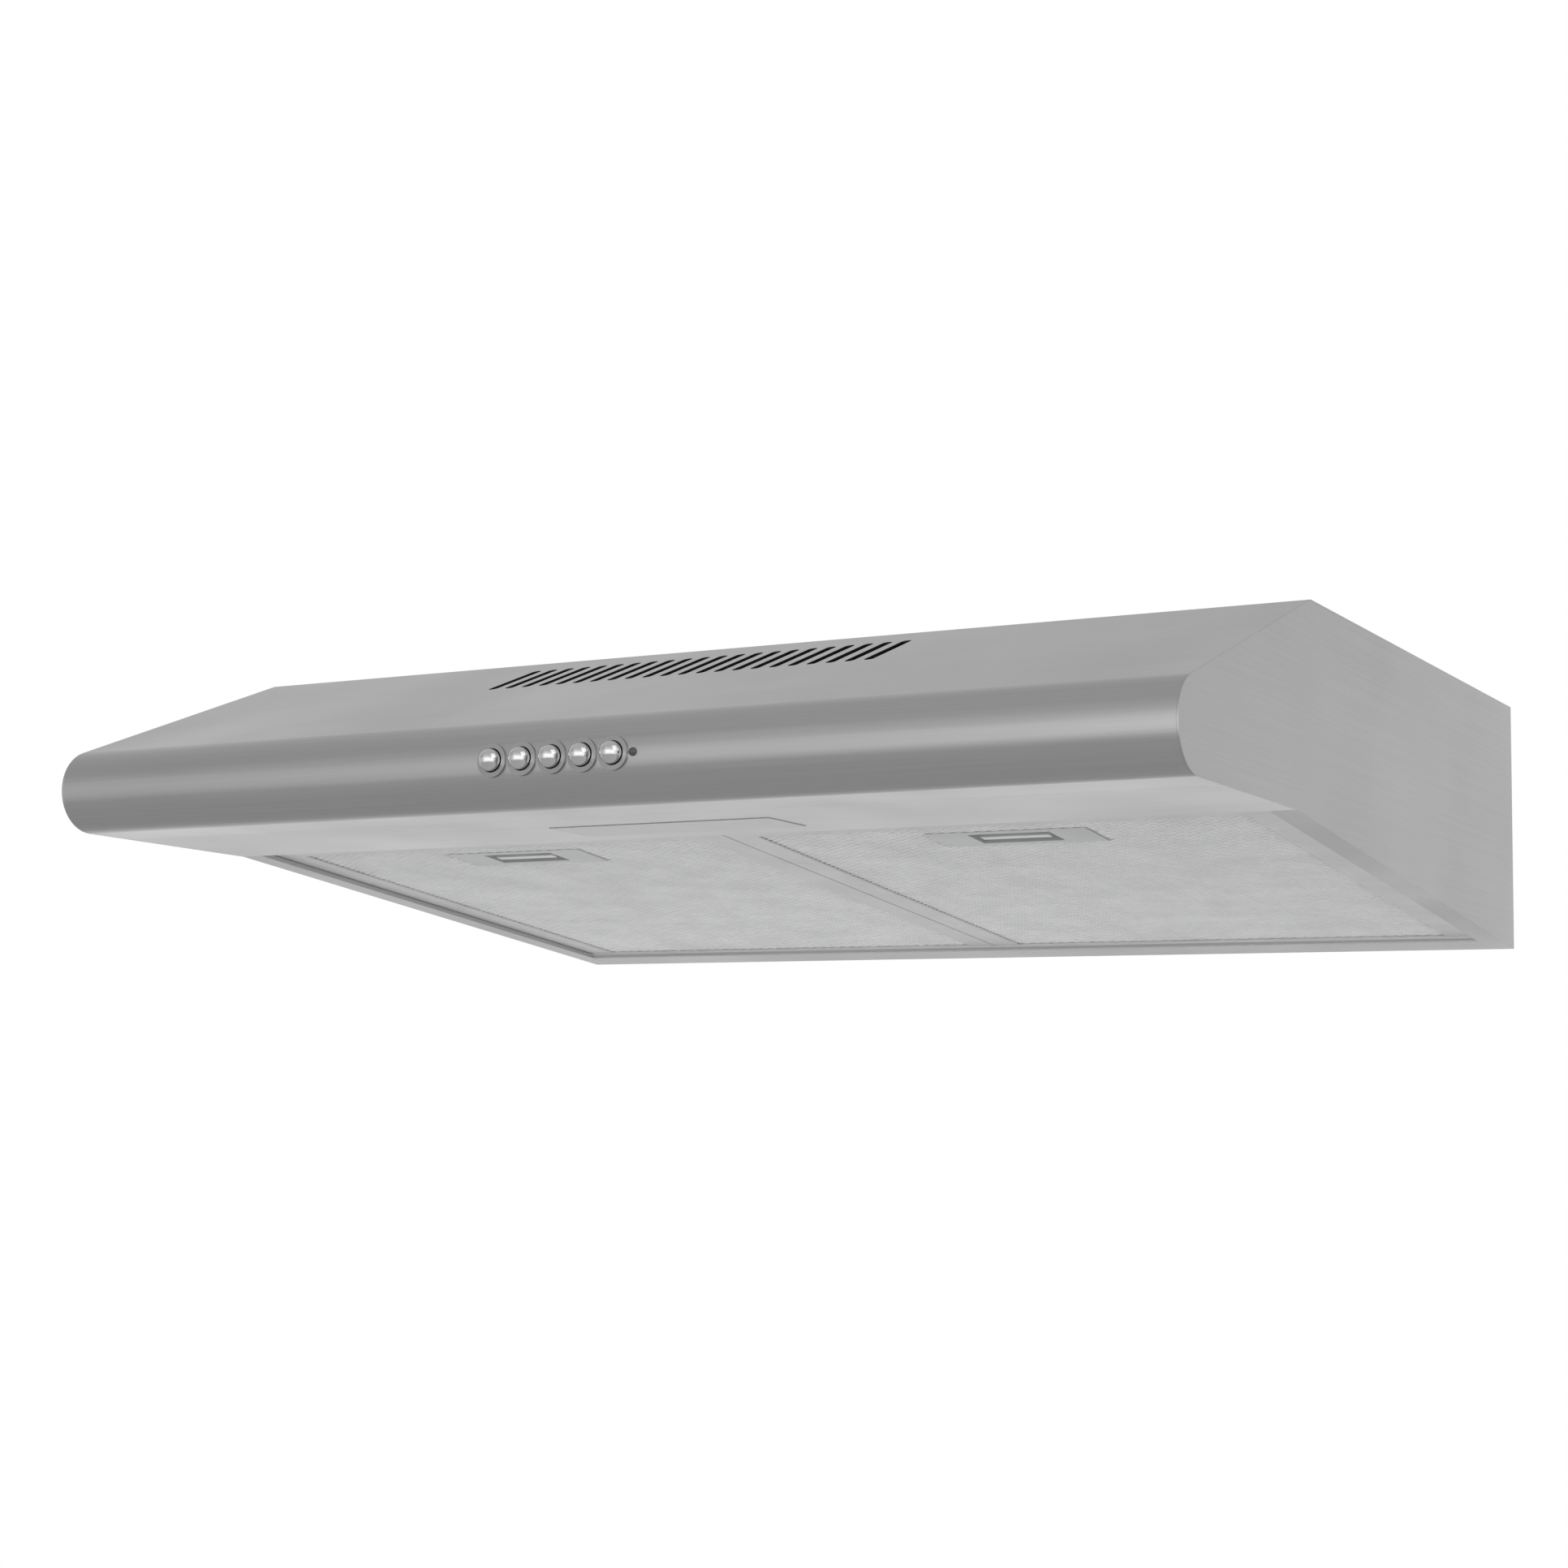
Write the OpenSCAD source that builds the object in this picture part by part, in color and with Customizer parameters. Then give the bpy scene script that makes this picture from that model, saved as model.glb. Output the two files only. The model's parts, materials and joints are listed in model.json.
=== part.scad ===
/* [Overall size] */
// Width of the hood, side to side
hood_w = 600; // [500:10:900]
// Depth from the wall face to the front of the nose
hood_d = 485; // [470:5:600]
// Height of the wall face
hood_h = 133; // [125:1:170]
// Height of the front of the hood, from the top face down to the lamp strip
front_h = 97; // [92:1:115]
// Depth of the flat top
top_d = 328; // [310:2:390]
// Radius of the rounded nose
nose_r = 21; // [19:0.5:25]
// Thickness of the sheet steel
sheet = 1; // [0.8:0.1:1.2]

/* [Underside] */
// Depth of the lamp strip, from the front of the nose to the filter opening
strip_d = 138; // [134:1:160]
// Width of the folded flange along each side of the filter opening
side_flange = 13; // [10:1:20]
// Depth of the rail along the wall edge
rail_d = 23; // [18:1:30]

/* [Front vents] */
// Number of slots in the slope
vent_count = 22; // [10:1:26]
// Distance from one slot to the next
vent_pitch = 10.2; // [8:0.2:11]
// Width of a slot
vent_w = 5; // [3:0.25:6]
// Length of a slot down the slope
vent_len = 44; // [30:1:60]
// Distance from the top bend to the slots
vent_start = 20; // [14:1:30]

/* [Push buttons] */
// Distance from one button to the next
button_pitch = 16.5; // [16:0.5:24]
// Radius of a button
button_r = 5.2; // [4.5:0.1:5.6]
// Travel of a button
button_travel = 4; // [2:0.5:4.5]

/* [Lamp] */
// Width of the lamp lens
lens_w = 124; // [110:1:160]
// Depth of the lamp lens
lens_d = 36; // [34:1:38]
// Distance from the hood's middle to the middle of the lens
lens_x = 4; // [-20:1:20]

/* [Grease filters] */
// Thickness of a filter cassette
filter_t = 9; // [8:0.5:10]
// Width of the folded border round the mesh
filter_border = 15.5; // [12:0.5:20]
// Gap round each filter
filter_gap = 0.8; // [0.6:0.1:2]

/* [Blower] */
// Radius of the blower wheel
wheel_r = 75; // [68:1:78]
// Height of the blower wheel
wheel_h = 50; // [42:1:52]

/* [Duct] */
// Outer radius of the duct collar
collar_r = 59.5; // [49.5:0.5:60]
// Height of the duct collar above the top face
collar_h = 28; // [22:1:34]

/* [Cabinet screws] */
// Distance front to back between the slotted screw holes
mount_span_y = 220; // [200:5:240]
// Width of a slotted screw hole
mount_slot_w = 6; // [5:0.5:8]
// Length of a slotted screw hole
mount_slot_len = 14; // [10:1:18]

/* [Hidden] */
$fn = 64;

eps = 0.01;        // overcut of a hole through a face
gap = 0.4;         // air between pieces that move past each other
run_fit = 0.05;    // radial clearance of a turning pin

// Side profile, in the plane of depth (y) and height (z). The wall face is at back_y.
back_y = top_d / 2;
front_y = back_y - hood_d;
slope_y = back_y - top_d;
nose_y = front_y + nose_r;
nose_z = -(front_h - nose_r);
opening_y = front_y + strip_d;
slope_a = atan2(-nose_z, slope_y - nose_y) - asin(nose_r / norm([slope_y - nose_y, nose_z]));
floor_a = atan2(hood_h - front_h, back_y - opening_y);
floor_len = (back_y - opening_y) / cos(floor_a);
inner_w = hood_w - 2 * sheet;
opening_w = hood_w - 2 * side_flange;

// Laps and folds of the sheet parts
lap = 12;
lap_under = 3;
flange_return = 6;
top_lap_y = slope_y + 20;
lip_y = front_y + 49;
hem = 6;
rail_tab = 16;
window_w = 250;
window_lap = 8;
window_h = hood_h - 2 * (rail_tab + window_lap + 2.5);

// Screws
screw_r = 1.9;
screw_head_r = 3.6;
screw_head_h = 2.2;
mount_span_x = hood_w - 100;

// Buttons
button_names = ["off", "low", "medium", "high", "lamp"];
button_count = len(button_names);
bezel_r = 7.8;
bezel_bore = button_r + gap;
bezel_proud = 0.8;
stem_r = 2;
button_back_y = front_y + 9;
bracket_y = nose_y - 3;
switch_w = (button_count - 1) * button_pitch + 26;
switch_h = 20;
switch_d = 24;
indicator_x = (button_count - 1) / 2 * button_pitch + bezel_r + 2.6;
indicator_r = 2;
bracket_w = 2 * indicator_x + 21;

// Lamp
lens_y = front_y + 99;
lens_wall = 1.6;
tray_w = lens_w + 8;
tray_d = lens_d + 6;
tray_h = 44;
tray_t = 0.8;
tray_flange = 4;
bulb_r = 16;
bulb_z = -front_h + 2 * sheet + 21;
holder_r = 13;
holder_len = 24;

// Filters, in a frame at the rear pivot line with y towards the wall along the filter
filter_lift = 2 * sheet + 0.5;
pivot_u = rail_d + 1;
filter_tail = pivot_u - 8;
filter_front = floor_len - pivot_u - 1.5;
filter_w = opening_w / 2 - 1.5 * filter_gap;
filter_x = (filter_gap + filter_w) / 2;
filter_sheet = 0.8;
mesh_t = 1.2;
bead_r = 1.6;      // rolled edge of the wall rail, which each filter swings on
hook_r = bead_r + run_fit + filter_sheet;

// Latches
plate_w = 84;
plate_d = 30;
plate_y = -filter_front + 44;
plate_top = filter_t - 2.4;
pocket_w = 46;
pocket_d = 22;
pocket_wall = 1.5;
tab_w = 36;
tab_d = 3;
tab_base_d = 5;
tab_y = plate_y;
tab_bottom = 1;
arm_w = 12;
arm_t = 1.2;
arm_z = filter_t - 2.8;
upstand_h = (filter_lift + arm_z) * cos(floor_a) - 2 * gap;

// Blower scroll: three quarter arcs, each larger than the last, then a straight outlet
blower_x = -150;
case_wall = 2;
case_top = -sheet - 5;
case_h = 67;
scroll_r = wheel_r + 16;
scroll_step = 13;
scroll_half = scroll_step / 2;
lug_r = 7.5;
lug_h = 3;
lug_off = case_wall + screw_head_r + 0.6;
front_clear = 13.3;    // from the strip under the top's front edge to the front lug
blower_y = top_lap_y + lap_under + front_clear + lug_r + lug_off + scroll_r + scroll_half;
outlet_y1 = scroll_r + 2.5 * scroll_step;
outlet_w = 85;
wheel_top = case_top - case_wall - 9;
wheel_bottom = wheel_top - wheel_h;
wheel_inner = wheel_r - 13;
blade_count = 36;
can_r = 37;
can_top = case_top - case_wall - 5.5;
can_h = 38;
shaft_r = 4;
bearing_r = 9;
bearing_h = 7;
cup_r = can_r + 3;
grommet_r = 6;
grommet_h = 4;
grommet_ring = 50;

cap_x = 120;
cap_y = 30;
cap_r = 14;
cap_h = 45;

// Outlet box below the duct collar
plenum_half = 64;
collar_x = 0;
collar_y = blower_y + outlet_y1 - outlet_w / 2;
collar_wall = 1.5;
collar_flange = 9;
collar_flange_t = 1.5;
collar_clear = 1.2;
plenum_top = -sheet - collar_flange_t;
plenum_bottom = case_top - case_h;
damper_z = 6;
damper_t = 1.2;
damper_pin_r = 1.5;
damper_off = 3;
diverter_w = 108;
diverter_hinge_z = plenum_top - 6;
diverter_hinge_y = collar_y - plenum_half - 3.2;
diverter_t = 1.5;
diverter_pin_r = 2;
ear_w = 4;
vent_box_w = 104;

// Junction box and cable entry
box_x = 150;
box_y = back_y - 54;
box_w = 80;
box_d = 60;
box_h = 36;
box_wall = 2;
entry_r = 4;

function top_bend(t) = [slope_y + t * tan(slope_a / 2), -t];
function bottom_back(t) = [back_y - t, -hood_h + t * cos(floor_a) / (1 - sin(floor_a))];
function button_x(i) = (i - (button_count - 1) / 2) * button_pitch;

// ---- Shared shapes ----

// Extrudes a side profile along the width, centred
module along_x(width, x = 0) {
    translate([x - width / 2, 0, 0]) rotate([90, 0, 90]) linear_extrude(width) children();
}

// The hood's side profile, drawn in by t all round
module outline(t) {
    polygon([
        [back_y - t, -t],
        top_bend(t),
        [nose_y - (nose_r - t) * sin(slope_a), nose_z + (nose_r - t) * cos(slope_a)],
        [nose_y, nose_z],
        [nose_y, nose_z - (nose_r - t)],
        [opening_y + t * tan(floor_a / 2), -front_h + t],
        bottom_back(t)
    ]);
    translate([nose_y, nose_z]) circle(nose_r - t);
}

// A skin of one sheet's thickness inside the profile drawn in by t
module skin(t) {
    difference() {
        outline(t);
        outline(t + sheet);
    }
}

// A profile frame on the filter floor: x towards the wall, y square to the floor
module floor_2d(u, lift = 0) {
    translate([
        back_y - u * cos(floor_a) + lift * sin(floor_a),
        -hood_h + u * sin(floor_a) + lift * cos(floor_a)
    ]) rotate(-floor_a) children();
}

module slot_2d(length, width) {
    square([length - width, width], center = true);
    for (s = [-1, 1]) translate([s * (length - width) / 2, 0]) circle(width / 2);
}

module round_rect(w, d, r) {
    square([w - 2 * r, d], center = true);
    square([w, d - 2 * r], center = true);
    for (sx = [-1, 1], sy = [-1, 1]) {
        translate([sx * (w / 2 - r), sy * (d / 2 - r)]) circle(r, $fn = 24);
    }
}

module centred_box(size, bottom) {
    translate([-size[0] / 2, -size[1] / 2, bottom]) cube(size);
}

// Puts children's +z axis along +y, starting at the given depth and height
module towards_wall(x, y, z) {
    translate([x, y, z]) rotate([-90, 0, 0]) children();
}

// A round wire wound into an open spring along +z
module spring(r, wire, height, turns) {
    steps = 16;
    sides = 6;
    rise = (height - 2 * wire) / turns;
    total = steps * turns;
    points = [
        for (i = [0 : total], k = [0 : sides - 1])
            let (a = 360 * i / steps, b = 360 * k / sides, q = r + wire * cos(b))
            [q * cos(a), q * sin(a), wire + rise * i / steps + wire * sin(b)]
    ];
    walls = [
        for (i = [0 : total - 1], k = [0 : sides - 1])
            let (n = (k + 1) % sides)
            [i * sides + k, (i + 1) * sides + k, (i + 1) * sides + n, i * sides + n]
    ];
    first = [for (k = [0 : sides - 1]) k];
    last = [for (k = [sides - 1 : -1 : 0]) total * sides + k];
    polyhedron(points, concat(walls, [first, last]));
}

// ---- Shell ----

module slope_face() {
    translate([0, slope_y, 0]) rotate([slope_a, 0, 0]) children();
}

module vent_slots() {
    slope_face() for (i = [0 : vent_count - 1]) {
        translate([(i - (vent_count - 1) / 2) * vent_pitch, -vent_start - vent_len / 2, -2 * sheet])
            linear_extrude(4 * sheet) rotate(90) slot_2d(vent_len, vent_w);
    }
}

// Holes on the button line, from the front of the nose back to the nose's axis
module nose_holes(r) {
    for (i = [0 : button_count - 1]) {
        towards_wall(button_x(i), front_y - 2, nose_z) cylinder(h = nose_r, r = r);
    }
}

module front_fascia() {
    color("silver") difference() {
        along_x(inner_w) intersection() {
            skin(0);
            union() {
                translate([front_y, -front_h + 2 * sheet])
                    square([top_lap_y - front_y, front_h]);
                translate([front_y, -front_h]) square([lip_y - front_y, front_h / 2]);
            }
        }
        vent_slots();
        nose_holes(bezel_r - 1.4);
        towards_wall(indicator_x, front_y - 2, nose_z) cylinder(h = nose_r, r = indicator_r);
        front_screws(hole = true);
    }
}

module lamp_panel() {
    color("gainsboro") difference() {
        union() {
            along_x(inner_w) translate([lip_y, -front_h]) square([opening_y - lip_y, sheet]);
            along_x(opening_w) {
                translate([lip_y - lap, -front_h + sheet]) square([lap + lap_under, sheet]);
                translate([opening_y - sheet, -front_h]) square([sheet, upstand_h]);
            }
        }
        translate([lens_x, lens_y, -front_h - 1]) linear_extrude(sheet + 2)
            round_rect(lens_w + 2 * gap, lens_d + 2 * gap, 2 + gap);
    }
}

// The folded edges that each side panel tucks inside its neighbours
module side_flange_profile() {
    difference() {
        skin(sheet);
        polygon([
            [opening_y, -hood_h],
            [opening_y, -3 * sheet],
            [back_y - 2 * sheet, -3 * sheet],
            [back_y - 2 * sheet, -hood_h]
        ]);
    }
}

module side_panel(side) {
    flange_x = side * (inner_w - side_flange + sheet) / 2;
    color("silver") difference() {
        union() {
            along_x(sheet, side * (hood_w - sheet) / 2) outline(0);
            along_x(side_flange - sheet, flange_x) side_flange_profile();
            along_x(side_flange - sheet, flange_x) intersection() {
                floor_2d(floor_len) square([floor_len, sheet]);
                translate([opening_y, -2 * hood_h])
                    square([back_y - sheet - opening_y, 2 * hood_h]);
            }
            along_x(sheet, side * (opening_w + sheet) / 2) intersection() {
                floor_2d(floor_len) square([floor_len, flange_return]);
                translate([opening_y, -2 * hood_h])
                    square([back_y - 2 * sheet - opening_y, 2 * hood_h]);
            }
        }
        side_screws(hole = true);
    }
}

module mount_slots() {
    for (sx = [-1, 1], sy = [-1, 1]) {
        translate([sx * mount_span_x / 2, sy * mount_span_y / 2, -2 * sheet])
            linear_extrude(3 * sheet) slot_2d(mount_slot_len, mount_slot_w);
    }
}

module top_panel() {
    color("silver") difference() {
        union() {
            translate([-inner_w / 2, top_lap_y, -sheet])
                cube([inner_w, back_y - top_lap_y, sheet]);
            translate([-opening_w / 2, top_lap_y - lap, -2 * sheet])
                cube([opening_w, lap + lap_under, sheet]);
        }
        mount_slots();
        translate([collar_x, collar_y, -2]) cylinder(h = 4, r = collar_r + collar_clear);
        translate([box_x, box_y, -2]) cylinder(h = 4, r = entry_r + 3);
        front_screws(hole = true);
        side_screws(hole = true);
        case_screws(hole = true);
        collar_screws(hole = true);
    }
}

module rear_window(grow) {
    translate([-window_w / 2 - grow, back_y - 3 * sheet, -hood_h / 2 - window_h / 2 - grow])
        cube([window_w + 2 * grow, 4 * sheet, window_h + 2 * grow]);
}

module back_panel() {
    color("silver") difference() {
        along_x(inner_w) intersection() {
            outline(0);
            translate([back_y - sheet, -2 * hood_h]) square([sheet, 2 * hood_h - sheet]);
        }
        rear_window(0);
        cover_screws(hole = true);
    }
}

module rear_rail() {
    color("gainsboro") along_x(opening_w) intersection() {
        union() {
            floor_2d(rail_d) square([rail_d + lap, sheet]);
            floor_2d(rail_d) square([hem, 2 * sheet]);
            floor_2d(pivot_u, filter_lift) circle(bead_r);
            translate([back_y - 2 * sheet, -hood_h]) square([sheet, rail_tab]);
        }
        outline(0);
        translate([front_y, -2 * hood_h]) square([hood_d - sheet, 2 * hood_h]);
    }
}

module rear_duct_cover() {
    color("silver") difference() {
        intersection() {
            rear_window(window_lap);
            translate([-hood_w / 2, back_y - 2 * sheet, -hood_h]) cube([hood_w, sheet, hood_h]);
        }
        cover_screws(hole = true);
    }
}

// ---- Push buttons and switch ----

// A saddle-backed collar that sits on the rounded nose, with a tube through the sheet
module button_bezels() {
    color("whitesmoke") for (i = [0 : button_count - 1]) {
        difference() {
            union() {
                difference() {
                    towards_wall(button_x(i), front_y - bezel_proud, nose_z)
                        cylinder(h = 4, r = bezel_r);
                    along_x(hood_w) translate([nose_y, nose_z]) circle(nose_r);
                }
                towards_wall(button_x(i), front_y - bezel_proud, nose_z)
                    cylinder(h = 6, r = bezel_r - 1.4);
            }
            towards_wall(button_x(i), front_y - 2, nose_z) cylinder(h = 9, r = bezel_bore);
        }
    }
}

// A domed cap on a guide, with a thin stem that reaches into the switch
module push_button(i) {
    dome_y = front_y - 2;
    dome_r = button_r;
    color("whitesmoke") {
        translate([button_x(i), dome_y, nose_z]) sphere(dome_r);
        towards_wall(button_x(i), dome_y, nose_z) cylinder(h = button_back_y - dome_y, r = button_r);
        towards_wall(button_x(i), button_back_y, nose_z)
            cylinder(h = nose_y + 3 - button_back_y, r = stem_r);
    }
}

module button_spring(i) {
    clear = 0.1;
    color("gray") towards_wall(button_x(i), button_back_y + clear, nose_z)
        spring(3.2, 0.4, bracket_y - 1 - button_back_y - 2 * clear, 4);
}

module stem_holes(depth) {
    for (i = [0 : button_count - 1]) {
        towards_wall(button_x(i), bracket_y - 3, nose_z) cylinder(h = depth, r = stem_r + gap);
    }
}

module switch_bracket() {
    color("gray") difference() {
        along_x(bracket_w) intersection() {
            outline(sheet);
            translate([bracket_y - 1, -front_h]) square([2, front_h]);
        }
        stem_holes(6);
        towards_wall(indicator_x, bracket_y - 3, nose_z) cylinder(h = 6, r = indicator_r);
    }
}

module switch_body() {
    color("dimgray") difference() {
        translate([0, bracket_y + 1 + switch_d / 2, nose_z])
            centred_box([switch_w, switch_d, switch_h], -switch_h / 2);
        stem_holes(3 + nose_y - bracket_y + 3 + button_travel + 1);
    }
}

module indicator_lens() {
    color("dimgray") {
        translate([indicator_x, front_y, nose_z]) sphere(indicator_r, $fn = 24);
        towards_wall(indicator_x, front_y, nose_z)
            cylinder(h = bracket_y + 1 - front_y, r = indicator_r, $fn = 24);
    }
}

// ---- Lamp ----

module light_lens() {
    color("white") translate([lens_x, lens_y, 0]) difference() {
        union() {
            translate([0, 0, -front_h - 0.4]) linear_extrude(lens_wall) round_rect(lens_w, lens_d, 2);
            translate([0, 0, -front_h]) linear_extrude(5) round_rect(lens_w, lens_d, 2);
        }
        translate([0, 0, -front_h - 0.4 + lens_wall]) linear_extrude(10)
            round_rect(lens_w - 2 * lens_wall, lens_d - 2 * lens_wall, 1);
    }
}

module lamp_reflector() {
    floor_top = -front_h + sheet;
    color("white") translate([lens_x, lens_y, 0]) difference() {
        union() {
            centred_box([tray_w, tray_d, tray_h], floor_top);
            centred_box([tray_w + 2 * tray_flange, tray_d + 2 * tray_flange, tray_t], floor_top);
        }
        centred_box([tray_w - 2 * tray_t, tray_d - 2 * tray_t, tray_h - tray_t], floor_top - eps);
        translate([-tray_w, 0, bulb_z]) rotate([0, 90, 0]) cylinder(h = tray_w, r = 5);
    }
}

module lamp_holder() {
    color("ivory") translate([lens_x - tray_w / 2 + tray_t, lens_y, bulb_z]) rotate([0, 90, 0])
        difference() {
            union() {
                cylinder(h = holder_len, r = holder_r);
                translate([0, 0, -tray_t - 4]) cylinder(h = 6, r = 5);
            }
            translate([0, 0, 6]) cylinder(h = holder_len, r = 7.2);
        }
}

// The bulb's axis starts inside the holder and points to the other end of the tray
module at_bulb() {
    translate([lens_x - tray_w / 2 + tray_t + 8, lens_y, bulb_z]) rotate([0, 90, 0]) children();
}

module lamp_cap() {
    color("gray") at_bulb() difference() {
        union() {
            cylinder(h = 3, r = 4);
            translate([0, 0, 3]) cylinder(h = 17, r = 7);
        }
        translate([0, 0, 4]) cylinder(h = 17, r = 6);
    }
}

module bulb_profile(t) {
    translate([0, 20]) square([7 - t, 12]);
    intersection() {
        translate([0, 46]) circle(bulb_r - t);
        translate([0, 20]) square([bulb_r, 60]);
    }
    polygon([
        [0, 30],
        [7 - t, 31],
        [(bulb_r - t) * cos(30), 46 - (bulb_r - t) * sin(30)],
        [0, 46]
    ]);
    polygon([
        [0, 46],
        [(bulb_r - t) * cos(20), 46 + (bulb_r - t) * sin(20)],
        [3 - t, 80 - 2 * t],
        [0, 80 - t]
    ]);
}

module lamp_bulb() {
    color("lightyellow") at_bulb() rotate_extrude() difference() {
        bulb_profile(0);
        bulb_profile(1);
        translate([-1, 15]) square([7, 8]);
    }
}

// ---- Grease filters ----

module filter_place(side) {
    translate([
        side * filter_x,
        back_y - pivot_u * cos(floor_a) + filter_lift * sin(floor_a),
        -hood_h + pivot_u * sin(floor_a) + filter_lift * cos(floor_a)
    ]) rotate([-floor_a, 0, 0]) children();
}

// A block with the filter's outline drawn in by t, between two heights
module filter_block(t, z0, z1) {
    translate([-filter_w / 2 + t, -filter_front + t, z0])
        cube([filter_w - 2 * t, filter_front + filter_tail - 2 * t, z1 - z0]);
}

// A folded tray with a half round hook along its underside that sits over the rail's bead
module filter_frame(side) {
    color("lightgray") filter_place(side) difference() {
        union() {
            difference() {
                filter_block(0, 0, filter_t);
                filter_block(filter_sheet, filter_sheet, filter_t - filter_sheet);
                filter_block(filter_border, -1, filter_t + 1);
            }
            along_x(filter_w) intersection() {
                circle(hook_r);
                translate([-hook_r, 0]) square(2 * hook_r);
            }
        }
        along_x(filter_w + 2) circle(bead_r + run_fit);
        translate([-arm_w / 2 - gap, -filter_front - 1, arm_z - gap])
            cube([arm_w + 2 * gap, 4, arm_t + 2 * gap]);
    }
}

module filter_mesh(side) {
    mesh_w = filter_w - 2 * filter_sheet;
    color("silver") filter_place(side) difference() {
        translate([-mesh_w / 2, -filter_front + filter_sheet, filter_sheet])
            cube([mesh_w, filter_front - filter_sheet - hook_r, mesh_t]);
        translate([0, plate_y, 0]) centred_box([plate_w, plate_d, filter_t], -1);
    }
}

module latch_plate(side) {
    color("gray") filter_place(side) translate([0, plate_y, 0]) difference() {
        union() {
            centred_box([plate_w, plate_d, plate_top - filter_sheet], filter_sheet);
            centred_box([pocket_w, pocket_d, filter_t - filter_sheet], filter_sheet);
        }
        centred_box([pocket_w - 2 * pocket_wall, pocket_d - 2 * pocket_wall, filter_t - 1], 0);
        for (sx = [-1, 1]) {
            translate([sx * (plate_w + pocket_w) / 4, 0, 0]) centred_box([
                (plate_w - pocket_w) / 2 - 2 * pocket_wall,
                plate_d - 2 * pocket_wall,
                plate_top
            ], 2);
        }
        translate([-arm_w / 2 - gap, -plate_d, arm_z - gap])
            cube([arm_w + 2 * gap, plate_d - pocket_d / 2 + 2, arm_t + 2 * gap]);
    }
}

// An upright finger tab on a small foot, with an arm to the front edge of the filter
module latch_slider(side) {
    tongue_y = -filter_front - 0.7;
    foot_h = 1;
    color("dimgray") filter_place(side) {
        translate([0, tab_y, 0]) centred_box([tab_w, tab_d, arm_z - tab_bottom], tab_bottom);
        translate([0, tab_y, 0]) centred_box([tab_w, tab_base_d, foot_h], tab_bottom);
        translate([0, tab_y, 0]) centred_box([arm_w, tab_d, arm_t + eps], arm_z - eps);
        translate([-arm_w / 2, tongue_y, arm_z])
            cube([arm_w, tab_y - tongue_y, arm_t]);
    }
}

module latch_spring(side) {
    clear = 0.1;
    start = tab_y + tab_d / 2 + clear;
    end = plate_y + pocket_d / 2 - pocket_wall - clear;
    color("gray") filter_place(side) towards_wall(0, start, arm_z - 1.8)
        spring(1.5, 0.25, end - start, 5);
}

// ---- Blower ----

module at_wheel(z) {
    translate([blower_x, blower_y, z]) children();
}

// Scroll outline round the wheel's axis, drawn out by grow, with its outlet towards +x
module scroll_2d(grow) {
    reach = 2 * outlet_y1;
    intersection() {
        translate([-scroll_half, -scroll_half]) circle(scroll_r + grow);
        translate([-scroll_half, -reach]) square([reach, 2 * reach]);
    }
    intersection() {
        translate([-scroll_half, scroll_half]) circle(scroll_r + scroll_step + grow);
        translate([-scroll_half - reach, scroll_half - reach]) square(reach);
    }
    intersection() {
        translate([scroll_half, scroll_half]) circle(scroll_r + 2 * scroll_step + grow);
        translate([scroll_half - reach, scroll_half]) square(reach);
    }
    translate([0, outlet_y1 - outlet_w - grow])
        square([collar_x - plenum_half - blower_x, outlet_w + 2 * grow]);
}

// Where the housing's four fixing lugs stand, from the wheel's axis
case_lugs = [
    [-scroll_half - scroll_r - scroll_step - lug_off, scroll_half],
    [-scroll_half, -scroll_half - scroll_r - lug_off],
    [scroll_r - scroll_half + lug_off, -scroll_half],
    [scroll_half, outlet_y1 + lug_off]
];

module blower_housing() {
    color("dimgray") difference() {
        at_wheel(0) union() {
            translate([0, 0, case_top - case_h]) linear_extrude(case_h) scroll_2d(case_wall);
            for (p = case_lugs) translate([p[0], p[1], case_top - lug_h])
                cylinder(h = -sheet - case_top + lug_h, r = lug_r);
        }
        at_wheel(case_top - case_h + case_wall) linear_extrude(case_h - 2 * case_wall) {
            scroll_2d(0);
            translate([0, outlet_y1 - outlet_w]) square([-blower_x, outlet_w]);
        }
        at_wheel(case_top - case_h - 1) cylinder(h = 4, r = wheel_r + 3);
        translate([blower_x, blower_y + 24, case_top - 3]) cylinder(h = 4, r = 2);
        case_screws(hole = true);
    }
}

// Cover plate with the air inlet and its finger guard
module inlet_ring() {
    inlet_r = wheel_inner - 6;
    bar = 2;
    color("dimgray") at_wheel(plenum_bottom - case_wall) {
        difference() {
            union() {
                cylinder(h = case_wall, r = wheel_r + 9);
                cylinder(h = case_wall + 4, r = inlet_r);
            }
            translate([0, 0, -1]) cylinder(h = 10, r = inlet_r - 2);
        }
        linear_extrude(case_wall) {
            for (r = [14, 28, 42]) difference() {
                circle(r);
                circle(r - bar);
            }
            for (a = [0 : 60 : 300]) rotate(a) translate([13, -bar / 2])
                square([inlet_r - 14, bar]);
        }
    }
}

module wheel_blade() {
    translate([(wheel_r + wheel_inner) / 2, 0]) rotate(35)
        square([wheel_r - wheel_inner, 1.2], center = true);
}

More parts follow.
